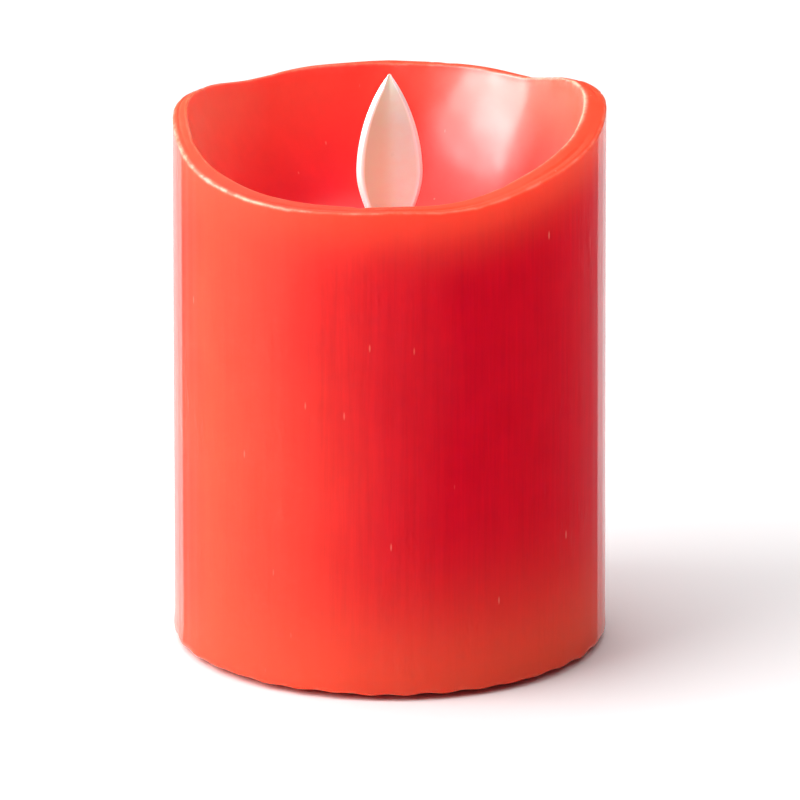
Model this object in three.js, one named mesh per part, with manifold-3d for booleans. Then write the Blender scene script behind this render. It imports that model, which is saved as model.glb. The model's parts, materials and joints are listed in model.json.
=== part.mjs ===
// Flameless LED candle: a wax pillar on a moulded core, with a leaf-shaped flame that swings on a wire.
// Millimetres. +Z is up, the front faces -Y, and the origin is at the middle of the surface it stands on.
import * as THREE from 'three';
import { mergeVertices } from 'three/addons/utils/BufferGeometryUtils.js';
import Module from 'manifold-3d';

const wasm = await Module();
wasm.setup();

// Driving dimensions
const candleRadius = 37.5;
const flameTip = 100;
const rimHeights = [ // around the rim in equal steps, anticlockwise from the right-hand side (+X)
  95.9, 96.0, 93.5, 93.6, 93.3, 93.3, 92.8, 94.3, 94.2, 89.6, 86.9, 85.9, 86.0, 86.4, 89.3, 92.4,
];
const gap = 0.3; // between pieces that touch
const past = 1; // how far a cutting shape runs past the piece it cuts

// Wax shell
const waxBottom = 1;
const waxDraft = 0.5; // how much narrower the pillar is at the rim
const waxRound = 0.8;
const wallThickness = 4;
const rimWidth = 3.4;
const rimNominal = 90; // rim height before it is made wavy
const bowlFloor = 69;
const bowlHoleRadius = 11.5;

// Moulded core
const coreRadius = candleRadius - wallThickness - gap;
const coreWall = 1.4;
const deckTop = 62;
const deckThickness = 1.6;
const neckRadius = 11.2;
const neckWall = 1.4;
const neckTop = bowlFloor - 0.1;

// Base
const plateBottom = 1.4;
const plateTop = 3.8;
const coreBottom = plateTop + gap;
const baseScrewPlace = new THREE.Vector2(8, 28.4);
const footPlace = new THREE.Vector2(16.5, 23.5);
const footRadius = 3.6;
const footDepth = 1;
const switchFront = -23.6;
const switchTop = 9.2;
const knobTravel = 2; // each way from the middle
const knobWidth = 3.6;
const knobDepth = 2.7;
const stemWidth = 3;
const flangeWidth = 4.4;

// Cells and their bay
const cellRadius = 5.15;
const cellLength = 44.5;
const cellPitch = 10.9;
const cellHeight = 8.9;
const bayLength = 49;
const bayDepth = 33;
const bayTop = 14.7;
const trayWall = 1.2;
const contactThickness = 0.4;
const trayTop = bayTop + trayWall;

// Door
const doorThickness = 1.6;
const hingeDepth = 17.8; // distance of the hinge behind the middle
const hingeHeight = 2.6;
const hingeHalf = 11.7;

// Circuit board
const boardBottom = 28;
const boardTop = 29.6;
const boardWidth = 40;
const boardDepth = 34;
const postPlace = new THREE.Vector2(16.5, 13.5);

// Flame works
const pivotHeight = 66;
const wireRadius = 0.35;
const bladeHalfWidth = 5.65;
const bladeWidest = 82.8;
const bladeThickness = 1.8;
const tailHalfWidth = 1.6;
const magnetRadius = 3;
const magnetBottom = 42.2;
const magnetTop = 45.2;
const lampTilt = THREE.MathUtils.degToRad(14);
const lampBase = new THREE.Vector3(0, -6.3, 59.5);
const lampRadius = 2.5;

// Colours and surfaces
const finishes = {
  wax: { color: 0xdf2a30, roughness: 0.3 },
  redPlastic: { color: 0xb3202a, roughness: 0.45 },
  flamePlastic: { color: 0xf3cdb8, roughness: 0.35 },
  blackPlastic: { color: 0x1d1d20, roughness: 0.5 },
  whitePlastic: { color: 0xe6e2d8, roughness: 0.5 },
  steel: { color: 0xb9bcc2, roughness: 0.3, metalness: 1 },
  nickel: { color: 0xcfd0cf, roughness: 0.22, metalness: 1 },
  copper: { color: 0xb4652d, roughness: 0.35, metalness: 1 },
  clearLamp: { color: 0xfff2d0, roughness: 0.08 },
  greenBoard: { color: 0x1f6b3a, roughness: 0.45 },
  resistor: { color: 0xcdb083, roughness: 0.5 },
  capacitor: { color: 0x23314f, roughness: 0.35 },
  cellWrap: { color: 0x3d5f8c, roughness: 0.3 },
  redLead: { color: 0xc4161c, roughness: 0.4 },
  blackLead: { color: 0x161616, roughness: 0.4 },
  rubber: { color: 0x2b2b2d, roughness: 0.85 },
};

const candle = new THREE.Group();

function add(name, geometry, finish, parent = candle) {
  const mesh = new THREE.Mesh(geometry, new THREE.MeshStandardMaterial(finish));
  mesh.name = name;
  parent.add(mesh);
  return mesh;
}

// Solids

function toSolid(geometry) {
  const bare = geometry.clone();
  bare.deleteAttribute('normal');
  bare.deleteAttribute('uv');
  const merged = mergeVertices(bare);
  const corners = merged.index.array;
  const triangles = [];
  for (let i = 0; i < corners.length; i += 3) {
    const [a, b, c] = corners.slice(i, i + 3);
    if (a !== b && b !== c && c !== a) triangles.push(a, b, c);
  }
  return new wasm.Manifold(new wasm.Mesh({
    numProp: 3,
    vertProperties: new Float32Array(merged.attributes.position.array),
    triVerts: new Uint32Array(triangles),
  }));
}

function toGeometry(solid) {
  const mesh = solid.getMesh();
  const geometry = new THREE.BufferGeometry();
  geometry.setAttribute('position', new THREE.BufferAttribute(mesh.vertProperties, 3));
  geometry.setIndex(new THREE.BufferAttribute(mesh.triVerts, 1));
  geometry.computeVertexNormals();
  return geometry;
}

function join(...geometries) {
  return toGeometry(geometries.map(toSolid).reduce((sum, solid) => sum.add(solid)));
}

function cut(geometry, ...tools) {
  return toGeometry(tools.map(toSolid).reduce((left, tool) => left.subtract(tool), toSolid(geometry)));
}

// Upright cylinder between two heights
function post(radius, bottom, top, x = 0, y = 0, sides = 16) {
  const geometry = new THREE.CylinderGeometry(radius, radius, top - bottom, sides);
  return geometry.rotateX(Math.PI / 2).translate(x, y, (bottom + top) / 2);
}

// Cylinder along X
function rod(radius, fromX, toX, y, z, sides = 12) {
  const geometry = new THREE.CylinderGeometry(radius, radius, toX - fromX, sides);
  return geometry.rotateZ(Math.PI / 2).translate((fromX + toX) / 2, y, z);
}

function box(width, depth, bottom, top, x = 0, y = 0) {
  return new THREE.BoxGeometry(width, depth, top - bottom).translate(x, y, (bottom + top) / 2);
}

// Turned about Z. The outline runs up the outside, and closes on the axis or on itself.
function turned(outline, sides) {
  const points = outline.map(([radius, height]) => new THREE.Vector2(radius, height));
  return new THREE.LatheGeometry(points, sides).rotateX(Math.PI / 2);
}

// A ring's outline ends where it starts.
function turnedRing(outline, sides) {
  return turned([...outline, outline[0]], sides);
}

function plate(shape, bottom, top, curveSegments = 6) {
  const options = { depth: top - bottom, bevelEnabled: false, curveSegments };
  return new THREE.ExtrudeGeometry(shape, options).translate(0, 0, bottom);
}

function circle(radius, sides) {
  const step = (2 * Math.PI) / sides;
  const corners = Array.from({ length: sides }, (_, i) => new THREE.Vector2(
    radius * Math.cos(i * step),
    radius * Math.sin(i * step),
  ));
  return new THREE.Shape(corners);
}

// Round wire along a curve
function wire(curve, radius, steps, sides = 8) {
  const options = { steps, extrudePath: curve, bevelEnabled: false };
  return new THREE.ExtrudeGeometry(circle(radius, sides), options);
}

function smoothPath(...points) {
  return new THREE.CatmullRomCurve3(points.map((p) => new THREE.Vector3(...p)));
}

function roundedRectangle(width, depth, radius) {
  const x = width / 2;
  const y = depth / 2;
  const shape = new THREE.Shape();
  shape.moveTo(x, radius - y);
  shape.lineTo(x, y - radius);
  shape.absarc(x - radius, y - radius, radius, 0, Math.PI / 2);
  shape.absarc(radius - x, y - radius, radius, Math.PI / 2, Math.PI);
  shape.absarc(radius - x, radius - y, radius, Math.PI, Math.PI * 1.5);
  shape.absarc(x - radius, radius - y, radius, Math.PI * 1.5, Math.PI * 2);
  return shape;
}

// The four corners (x, y), (-x, y), (-x, -y) and (x, -y)
function fourCorners(place) {
  return [[1, 1], [-1, 1], [-1, -1], [1, -1]].map(([sx, sy]) => [sx * place.x, sy * place.y]);
}

// Wax shell

// Height of the wavy rim at an angle from +X, on a smooth curve through rimHeights
function rimHeightAt(angle) {
  const count = rimHeights.length;
  const place = THREE.MathUtils.euclideanModulo(angle / (2 * Math.PI), 1) * count;
  const first = Math.floor(place);
  const t = place - first;
  const [a, b, c, d] = [-1, 0, 1, 2].map((k) => rimHeights[(first + k + count) % count]);
  return b + (t / 2) * (c - a + t * (2 * a - 5 * b + 4 * c - d + t * (3 * (b - c) + d - a)));
}

// Everything above the bowl's floor is stretched, so that the nominal rim meets the wavy one.
function stretchToRim(geometry) {
  const position = geometry.attributes.position;
  for (let i = 0; i < position.count; i += 1) {
    const rise = position.getZ(i) - bowlFloor;
    if (rise > 0) {
      const rim = rimHeightAt(Math.atan2(position.getY(i), position.getX(i)));
      position.setZ(i, bowlFloor + (rise * (rim - bowlFloor)) / (rimNominal - bowlFloor));
    }
  }
  geometry.computeVertexNormals();
  return geometry;
}

// The bowl's side from the rim's inner edge to the floor: a quarter of an ellipse that runs out flat
function bowlSide(topRadius, topHeight, floorRadius, steps) {
  return Array.from({ length: steps }, (_, i) => {
    const angle = ((i + 1) / steps) * (Math.PI / 2);
    const radius = floorRadius + (topRadius - floorRadius) * Math.cos(angle);
    return [radius, topHeight - (topHeight - bowlFloor) * Math.sin(angle)];
  });
}

function waxShell() {
  const sides = 64;
  const boreRadius = coreRadius + gap;
  const rimRadius = candleRadius - waxDraft;
  const rimInner = rimRadius - rimWidth;
  const edge = 0.7;
  const outline = [
    [boreRadius, waxBottom],
    [candleRadius - waxRound, waxBottom],
    [candleRadius, waxBottom + waxRound],
    [rimRadius + 0.1, bowlFloor],
    [rimRadius, rimNominal - 2 * edge],
    [rimRadius - edge * 0.3, rimNominal - edge * 0.5],
    [rimRadius - edge, rimNominal],
    [rimInner + edge, rimNominal],
    [rimInner, rimNominal - edge],
    ...bowlSide(rimInner, rimNominal - edge, bowlHoleRadius + 4, 7),
    [bowlHoleRadius, bowlFloor],
    [bowlHoleRadius, deckTop + gap],
    [boreRadius, deckTop + gap],
  ];
  return stretchToRim(turnedRing(outline, sides));
}

// Moulded core: a cup over the works, with a neck up through the bowl's floor

function coreHousing() {
  const innerRadius = coreRadius - coreWall;
  const neckInner = neckRadius - neckWall;
  const cup = turnedRing([
    [innerRadius, coreBottom],
    [coreRadius, coreBottom],
    [coreRadius, deckTop],
    [neckRadius, deckTop],
    [neckRadius, neckTop],
    [neckInner, neckTop],
    [neckInner, deckTop - deckThickness],
    [innerRadius, deckTop - deckThickness],
  ], 48);
  const bossTop = 14;
  const places = fourCorners(baseScrewPlace);
  const bosses = places.map(([x, y]) => post(2.5, coreBottom, bossTop, x, y, 12));
  const pilots = places.map(([x, y]) => post(1.3, coreBottom - past, bossTop - 1, x, y, 10));
  const slotHalf = wireRadius + gap;
  const wireSlot = box(3 * neckRadius, 2 * slotHalf, pivotHeight - slotHalf, neckTop + past);
  return cut(join(cup, ...bosses), ...pilots, wireSlot);
}

// Cover at the bottom of the bowl. Its skirt reaches down inside the neck and keeps the wire in its slots.
function flameCap() {
  const capRadius = 13;
  const capBottom = bowlFloor + gap;
  const skirtOuter = neckRadius - neckWall - gap;
  const disc = turnedRing([
    [skirtOuter - 1, pivotHeight + wireRadius + gap],
    [skirtOuter, pivotHeight + wireRadius + gap],
    [skirtOuter, capBottom],
    [capRadius, capBottom],
    [capRadius, capBottom + 0.5],
    [capRadius - 0.8, capBottom + 1],
    [capRadius - 4.5, capBottom + 1.5],
    [1, capBottom + 1.5],
    [1, capBottom],
    [skirtOuter - 1, capBottom],
  ], 32);
  const flameSlot = box(7, 4.6, capBottom - past, capBottom + 3);
  const lampWindow = post(3.1, capBottom - past, capBottom + 3, 0, -3.8, 20);
  return cut(disc, flameSlot, lampWindow);
}

// Disc in the neck's mouth below the deck, with a slanted hole for the lamp and a slot for the tail
function lampHolder() {
  const discRadius = neckRadius - neckWall - gap;
  const flangeTop = deckTop - deckThickness - gap;
  const disc = turned([
    [0, flangeTop - 1],
    [neckRadius, flangeTop - 1],
    [neckRadius, flangeTop],
    [discRadius, flangeTop],
    [discRadius, flangeTop + 2.2],
    [0, flangeTop + 2.2],
  ], 28);
  const tailSlot = box(2 * tailHalfWidth + 1.6, 4.4, flangeTop - 3, flangeTop + 4);
  const lampHole = post(lampRadius + gap, -1, 12, 0, 0, 16);
  const flangeHole = post(lampRadius + 0.4 + gap, -1, 1 + gap, 0, 0, 16);
  const slanted = [lampHole, flangeHole].map((g) => g.rotateX(-lampTilt).translate(...lampBase));
  return cut(disc, tailSlot, ...slanted);
}

// Flame

function flameOutline() {
  const stemHalfWidth = 2.2;
  const stemTop = 71;
  const stemBottom = pivotHeight + 1;
  const shape = new THREE.Shape();
  shape.moveTo(-stemHalfWidth, stemBottom);
  shape.lineTo(stemHalfWidth, stemBottom);
  shape.lineTo(stemHalfWidth, stemTop);
  shape.bezierCurveTo(3.2, 74.5, bladeHalfWidth, 78.8, bladeHalfWidth, bladeWidest);
  shape.bezierCurveTo(bladeHalfWidth, 88.5, 3.6, 95.2, 0, flameTip);
  shape.bezierCurveTo(-3.6, 95.2, -bladeHalfWidth, 88.5, -bladeHalfWidth, bladeWidest);
  shape.bezierCurveTo(-bladeHalfWidth, 78.8, -3.2, 74.5, -stemHalfWidth, stemTop);
  return shape;
}

function flameBlade() {
  const bevel = 0.5;
  const options = {
    depth: bladeThickness - 2 * bevel,
    bevelThickness: bevel,
    bevelSize: bevel,
    bevelOffset: -bevel,
    bevelSegments: 1,
    curveSegments: 9,
  };
  const blade = new THREE.ExtrudeGeometry(flameOutline(), options);
  blade.rotateX(Math.PI / 2).translate(0, bladeThickness / 2 - bevel, 0);
  const hub = box(5.8, 2.2, pivotHeight - 1.6, pivotHeight + 1.6);
  const tail = box(2 * tailHalfWidth, 1.6, magnetTop + gap, pivotHeight);
  const foot = post(magnetRadius, magnetTop + gap, magnetTop + gap + 1.2, 0, 0, 16);
  const wireHole = rod(wireRadius + gap, -4, 4, 0, pivotHeight);
  return cut(join(blade, hub, tail, foot), wireHole);
}

// 5 mm lamp on its own axis, with its two legs
function lamp() {
  const bodyTop = 6.1;
  const domeSteps = 4;
  const dome = Array.from({ length: domeSteps }, (_, i) => {
    const angle = ((i + 1) / domeSteps) * (Math.PI / 2);
    return [lampRadius * Math.cos(angle), bodyTop + lampRadius * Math.sin(angle)];
  });
  dome[domeSteps - 1][0] = 0;
  const body = turned([
    [0, 0],
    [lampRadius + 0.4, 0],
    [lampRadius + 0.4, 1],
    [lampRadius, 1],
    [lampRadius, bodyTop],
    ...dome,
  ], 16);
  const legs = [-1.27, 1.27].map((x) => box(0.5, 0.5, -7, 0.5, x, 0));
  return join(body, ...legs);
}

// Coil on the board, under the magnet
const coilBottom = boardTop + gap;
const coilTop = coilBottom + 10.8;
const coilRadius = 8;
const coilHub = 3;
const coilFlange = 1;

function coilBobbin() {
  return turnedRing([
    [1.5, coilBottom],
    [coilRadius, coilBottom],
    [coilRadius, coilBottom + coilFlange],
    [coilHub, coilBottom + coilFlange],
    [coilHub, coilTop - coilFlange],
    [coilRadius, coilTop - coilFlange],
    [coilRadius, coilTop],
    [1.5, coilTop],
  ], 28);
}

function coilWinding() {
  const low = coilBottom + coilFlange + gap;
  const high = coilTop - coilFlange - gap;
  return turnedRing([
    [coilHub + gap, low],
    [coilRadius - 0.9, low],
    [coilRadius - 0.6, (low + high) / 2],
    [coilRadius - 0.9, high],
    [coilHub + gap, high],
  ], 24);
}

// Circuit board and what is on it

function circuitBoard() {
  const shape = roundedRectangle(boardWidth, boardDepth, 2);
  shape.holes = fourCorners(postPlace).map(([x, y]) => {
    const hole = new THREE.Path();
    hole.absarc(x, y, 1.4, 0, 2 * Math.PI, true);
    return hole;
  });
  return plate(shape, boardBottom, boardTop, 4);
}

function controlChip() {
  const body = box(8.6, 3.9, 0.2, 1.6);
  const legSpacing = 1.27;
  const legs = [-3, -2, -1, 0, 1, 2, 3].map((i) => box(0.45, 6, 0, 0.6, i * legSpacing, 0));
  return join(body, ...legs);
}

function capacitor() {
  return turned([
    [0, 0],
    [3, 0],
    [3.2, 0.4],
    [3.2, 1],
    [3, 1.3],
    [3.2, 1.6],
    [3.2, 7.1],
    [2.8, 7.5],
    [0, 7.5],
  ], 18);
}

function transistor() {
  const flatFront = -1.2;
  const halfWidth = 1.9;
  const start = Math.atan2(flatFront, halfWidth);
  const shape = new THREE.Shape();
  shape.moveTo(-halfWidth, flatFront);
  shape.lineTo(halfWidth, flatFront);
  shape.absarc(0, 0, Math.hypot(halfWidth, flatFront), start, Math.PI - start);
  const body = plate(shape, 2, 6.6, 8);
  const legs = [-1.27, 0, 1.27].map((x) => box(0.45, 0.45, 0, 3, x, 0));
  return join(body, ...legs);
}

// Resistor along Y, with its leads bent down into the board
function resistor() {
  const end = [[0.9, 3.2], [1.2, 2.6], [1.2, 1.8], [1, 1.4]];
  const lowEnd = end.map(([radius, height]) => [radius, -height]);
  const body = turned([[0, -3.2], ...lowEnd, ...end.reverse(), [0, 3.2]], 10);
  body.rotateX(-Math.PI / 2).translate(0, 0, 1.5);
  const leads = [-1, 1].map((side) => join(
    box(0.5, 2, 1.25, 1.75, 0, side * 3.9),
    box(0.5, 0.5, 0, 1.75, 0, side * 4.65),
  ));
  return join(body, ...leads);
}

// Pan-head screw, head down, with a cross recess. Its head starts at zero and its shank points up.
function screw(headRadius, headHeight, shankRadius, length) {
  const body = turned([
    [0, 0],
    [headRadius * 0.8, 0],
    [headRadius, headHeight * 0.5],
    [headRadius, headHeight],
    [shankRadius, headHeight],
    [shankRadius, length - shankRadius],
    [0, length],
  ], 12);
  const slot = headRadius * 0.28;
  const reach = headRadius * 1.2;
  const depth = headHeight * 0.6;
  return cut(body, box(slot, reach, -past, depth), box(reach, slot, -past, depth));
}

// Cells and contacts

// Cell along X with its cap at +X, centred on its length
function cell() {
  const half = cellLength / 2;
  const outline = [
    [0, -half],
    [3.6, -half],
    [4.6, -half + 0.2],
    [cellRadius, -half + 0.7],
    [cellRadius, half - 1.7],
    [4.6, half - 1.2],
    [1.9, half - 1.2],
    [1.9, half - 0.2],
    [1.6, half],
    [0, half],
  ];
  return turned(outline, 20).rotateY(Math.PI / 2);
}

// Conical spring along X, wide end at zero
class SpringPath extends THREE.Curve {
  constructor(turns, wideRadius, narrowRadius, length) {
    super();
    Object.assign(this, { turns, wideRadius, narrowRadius, length });
  }

  getPoint(t, target = new THREE.Vector3()) {
    const angle = t * this.turns * 2 * Math.PI;
    const radius = THREE.MathUtils.lerp(this.wideRadius, this.narrowRadius, t);
    return target.set(t * this.length, radius * Math.cos(angle), radius * Math.sin(angle));
  }
}

function batterySpring() {
  const springWire = 0.3;
  const path = new SpringPath(2, 3.3, 1.7, 1.6);
  return wire(path, springWire, 20, 6).translate(springWire, 0, 0);
}

// Contact plate across the bay's end, centred on Y. A terminal has a tab up through the tray's ceiling.
function contactPlate(width, hasTab) {
  const low = 5;
  const high = 13.6;
  const face = box(contactThickness, width, low, high);
  return hasTab ? join(face, box(contactThickness, 2, high - 1, trayTop + 1.8)) : face;
}

const contactPlace = bayLength / 2 - gap - contactThickness / 2;

function batteryTray() {
  const outerLength = bayLength + 2 * trayWall;
  const outerDepth = bayDepth + 2 * trayWall;
  const bay = box(bayLength, bayDepth, coreBottom - past, bayTop);
  const shell = cut(box(outerLength, outerDepth, coreBottom, trayTop), bay);
  const ribs = [-0.5, 0.5].map((row) => box(40, 1.2, bayTop - 2.4, bayTop + 0.1, 0, row * cellPitch));
  const places = fourCorners(postPlace);
  const posts = places.map(([x, y]) => post(2.4, trayTop - 0.2, boardBottom - gap, x, y, 12));
  const pilots = places.map(([x, y]) => post(1.2, boardBottom - 8, boardBottom, x, y, 10));
  const tabSlot = box(1, 2.6, bayTop - past, trayTop + past, contactPlace, cellPitch);
  const otherSlot = tabSlot.clone().rotateZ(Math.PI);
  return cut(join(shell, ...ribs, ...posts), ...pilots, tabSlot, otherSlot);
}

// Base plate, switch and door

const openingLength = bayLength - 0.2;
const openingDepth = bayDepth - 0.4;

function basePlate() {
  const disc = post(coreRadius, plateBottom, plateTop, 0, 0, 64);
  const opening = box(openingLength, openingDepth, 0, plateTop + past);
  const notchWidth = 2 * (hingeHalf + gap);
  const notchBack = hingeDepth + 1.4;
  const notchDepth = notchBack - openingDepth / 2 + past;
  const hingeNotch = box(notchWidth, notchDepth, 0, plateTop + past, 0, notchBack - notchDepth / 2);
  const pinHoles = rod(0.8, -hingeHalf - 2.2, hingeHalf + 2.2, hingeDepth, hingeHeight, 12);
  const thumbScoop = post(7, 0, plateBottom + 1, 0, -openingDepth / 2 + 4, 24);
  const slotWidth = knobWidth + 2 * knobTravel + 0.8;
  const knobSlot = box(slotWidth, knobDepth + 0.7, 0, plateTop + past, 0, switchFront);
  const knobDish = box(slotWidth + 3.6, knobDepth + 2.9, 0, plateBottom + 0.7, 0, switchFront);
  const footRecesses = fourCorners(footPlace).map(([x, y]) => (
    post(footRadius + gap, 0, plateBottom + footDepth, x, y, 20)
  ));
  const screwHoles = fourCorners(baseScrewPlace).map(([x, y]) => join(
    post(2.5, 0, plateBottom + 1.2, x, y, 16),
    post(1.4, 0, plateTop + past, x, y, 12),
  ));
  const bay = [opening, hingeNotch, pinHoles, thumbScoop];
  return cut(disc, ...bay, knobSlot, knobDish, ...footRecesses, ...screwHoles);
}

// Door leaf with stiffening ribs inside, finger grooves at its front and a hinge barrel behind it.
// Its back edge stands off the plate, so that it clears it as it swings.
function batteryDoor() {
  const leafFront = gap - openingDepth / 2;
  const leafBack = openingDepth / 2 - 0.55;
  const leafDepth = leafBack - leafFront;
  const leafMiddle = (leafFront + leafBack) / 2;
  const doorTop = plateBottom + doorThickness;
  const leaf = box(openingLength - 2 * gap, leafDepth, plateBottom, doorTop, 0, leafMiddle);
  const webDepth = hingeDepth - leafBack + past;
  const web = box(2 * hingeHalf, webDepth, plateBottom + 0.5, doorTop, 0, hingeDepth - webDepth / 2);
  const barrel = rod(1, -hingeHalf, hingeHalf, hingeDepth, hingeHeight, 12);
  const pins = rod(0.5, -hingeHalf - 1.7, hingeHalf + 1.7, hingeDepth, hingeHeight, 12);
  const ribDepth = leafDepth - 8;
  const ribs = [-16, 0, 16].map((x) => box(1.2, ribDepth, doorTop - 0.1, doorTop + 0.4, x, leafMiddle));
  const grooves = [0, 1, 2, 3, 4].map((i) => (
    box(12 - i * 1.2, 0.7, 0, plateBottom + 0.4, 0, leafFront + 2.2 + i * 1.5)
  ));
  return cut(join(leaf, web, barrel, pins, ...ribs), ...grooves);
}

// Switch body with a chamber that keeps the knob's flange, and a narrower mouth for its stem
function slideSwitchBody() {
  const body = box(12, 5.4, coreBottom, switchTop);
  const mouth = box(stemWidth + 2 * knobTravel + 0.8, 2.7, coreBottom - past, 5.3);
  const chamber = box(flangeWidth + 2 * knobTravel + 1, 3.9, 5.2, 7.7);
  const pins = [-2.5, 0, 2.5].map((x) => box(0.8, 0.5, switchTop - 0.5, switchTop + 1.6, x, 0));
  return join(cut(body, mouth, chamber), ...pins);
}

function switchKnob() {
  const grip = box(knobWidth, knobDepth, plateBottom + 0.3, plateTop - 0.1);
  const ridges = [-1.2, 0, 1.2].map((x) => box(0.5, knobDepth, plateBottom, 2, x, 0));
  const stem = box(stemWidth, 2, 3.5, 6);
  const flange = box(flangeWidth, 3.2, 5.7, 7.3);
  return join(grip, ...ridges, stem, flange);
}

function rubberFoot() {
  const top = plateBottom + footDepth - gap;
  return turned([[0, 0], [footRadius - 0.5, 0], [footRadius, 0.5], [footRadius, top], [0, top]], 20);
}

// Assembly

add('wax_shell', waxShell(), finishes.wax);
add('core_housing', coreHousing(), finishes.whitePlastic);
add('flame_cap', flameCap(), finishes.redPlastic);
add('led_holder', lampHolder(), finishes.whitePlastic);

const led = add('led_lamp', lamp(), finishes.clearLamp);
led.position.copy(lampBase);
led.rotation.x = -lampTilt;

// The flame hangs on the wire with its magnet.
const flame = new THREE.Group();
candle.add(flame);
add('flame_blade', flameBlade(), finishes.flamePlastic, flame);
add('pendulum_magnet', post(magnetRadius, magnetBottom, magnetTop, 0, 0, 20), finishes.nickel, flame);
add('pivot_wire', rod(wireRadius, 0.2 - neckRadius, neckRadius - 0.2, 0, pivotHeight), finishes.steel);

add('coil_bobbin', coilBobbin(), finishes.whitePlastic);
add('coil_winding', coilWinding(), finishes.copper);
add('circuit_board', circuitBoard(), finishes.greenBoard);

const board = new THREE.Group();
board.position.z = boardTop + gap;
candle.add(board);
add('control_chip', controlChip(), finishes.blackPlastic, board).position.set(-13.5, -2, 0);
add('board_capacitor', capacitor(), finishes.capacitor, board).position.set(13.5, -5, 0);
add('drive_transistor', transistor(), finishes.blackPlastic, board).position.set(13, 4, 0);
[-14.5, -10.8].forEach((x, i) => {
  add(`board_resistor_${i + 1}`, resistor(), finishes.resistor, board).position.set(x, 7, 0);
});

// Two screws hold the board, driven down into the tray's posts.
[[1, 1], [-1, -1]].forEach(([sx, sy], i) => {
  const boardScrew = add(`board_screw_${i + 1}`, screw(2, 1.1, 0.9, 7), finishes.steel);
  boardScrew.position.set(sx * postPlace.x, sy * postPlace.y, boardTop + gap + 1.1);
  boardScrew.rotation.x = Math.PI;
});

add('battery_tray', batteryTray(), finishes.blackPlastic);

// The cells lie side by side and point opposite ways in turn: the first points to -X.
[-1, 1, -1].forEach((side, i) => {
  const row = (i - 1) * cellPitch;
  const capEnd = contactPlace - contactThickness / 2 - gap;
  const turn = side > 0 ? 0 : Math.PI;
  const aaa = add(`aaa_cell_${i + 1}`, cell(), finishes.cellWrap);
  aaa.position.set(side * (capEnd - cellLength / 2), row, cellHeight);
  aaa.rotation.z = turn;
  const spring = add(`battery_spring_${i + 1}`, batterySpring(), finishes.nickel);
  spring.position.set(-side * capEnd, row, cellHeight);
  spring.rotation.z = turn;
});

const cellWidth = 2 * cellRadius;
const linkWidth = cellPitch + cellWidth - 2;
const terminalWidth = cellWidth - 2;
const contacts = [
  ['link_plate_right', linkWidth, false, 1, -cellPitch / 2],
  ['link_plate_left', linkWidth, false, -1, cellPitch / 2],
  ['terminal_positive', terminalWidth, true, -1, -cellPitch],
  ['terminal_negative', terminalWidth, true, 1, cellPitch],
];
contacts.forEach(([name, width, hasTab, side, y]) => {
  add(name, contactPlate(width, hasTab), finishes.nickel).position.set(side * contactPlace, y, 0);
});

// Leads
const leadRadius = 0.6;
const landing = boardTop + gap + leadRadius;

function batteryLead() {
  const tabTop = trayTop + 1.8 + gap;
  return wire(smoothPath(
    [-contactPlace, -cellPitch, tabTop],
    [-contactPlace - 0.5, -cellPitch, tabTop + 4],
    [-contactPlace - 0.5, -cellPitch + 1, boardBottom],
    [-boardWidth / 2 - 1.5, -cellPitch + 2, landing + 1],
    [-boardWidth / 2 + 2, -cellPitch + 2.5, landing],
  ), leadRadius, 14, 6);
}

add('battery_lead_red', batteryLead(), finishes.redLead);
add('battery_lead_black', batteryLead(), finishes.blackLead).rotation.z = Math.PI;

// From one of the lamp's legs down to the board, in front of the coil
function lampLead(side) {
  const legLength = 7 + gap;
  const legEnd = [
    side * 1.27,
    lampBase.y - (legLength + 0.2) * Math.sin(lampTilt),
    lampBase.z - (legLength + 0.2) * Math.cos(lampTilt),
  ];
  return wire(smoothPath(
    legEnd,
    [side * 2, -10.5, 47],
    [side * 3.5, -13, 38],
    [side * 4, -13, landing],
  ), leadRadius, 12, 6);
}

add('led_lead_red', lampLead(1), finishes.redLead);
add('led_lead_black', lampLead(-1), finishes.blackLead);

// From a pin of the switch up past the tray to the board's front edge
function switchLead(side) {
  return wire(smoothPath(
    [side * 2.5, switchFront, switchTop + 1.6 + gap],
    [side * 3, switchFront - 1, 18],
    [side * 5, switchFront, 26],
    [side * 8, -boardDepth / 2 - 2, landing + 1.2],
    [side * 9, -boardDepth / 2 + 2.5, landing],
  ), leadRadius, 14, 6);
}

add('switch_lead_1', switchLead(-1), finishes.redLead);
add('switch_lead_2', switchLead(1), finishes.blackLead);

add('slide_switch_body', slideSwitchBody(), finishes.blackPlastic).position.y = switchFront;
add('switch_knob', switchKnob(), finishes.blackPlastic).position.y = switchFront;

add('base_plate', basePlate(), finishes.redPlastic);
add('battery_door', batteryDoor(), finishes.redPlastic);

fourCorners(baseScrewPlace).forEach(([x, y], i) => {
  add(`base_screw_${i + 1}`, screw(2.2, 0.8, 1, 9), finishes.steel).position.set(x, y, plateBottom + 0.1);
});

fourCorners(footPlace).forEach(([x, y], i) => {
  add(`rubber_foot_${i + 1}`, rubberFoot(), finishes.rubber).position.set(x, y, 0);
});

export default candle;
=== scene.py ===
"""Looks of the flameless LED candle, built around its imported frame.

The wax, the flame and the coil's winding are modelled anew, and the moulded and turned parts get rounded
edges. Every other part keeps its CAD shape. Each material slot has a procedural finish. Shapes are worked out
in millimetres and written in metres.
"""

import json
import math
from contextlib import contextmanager
from types import SimpleNamespace

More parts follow.
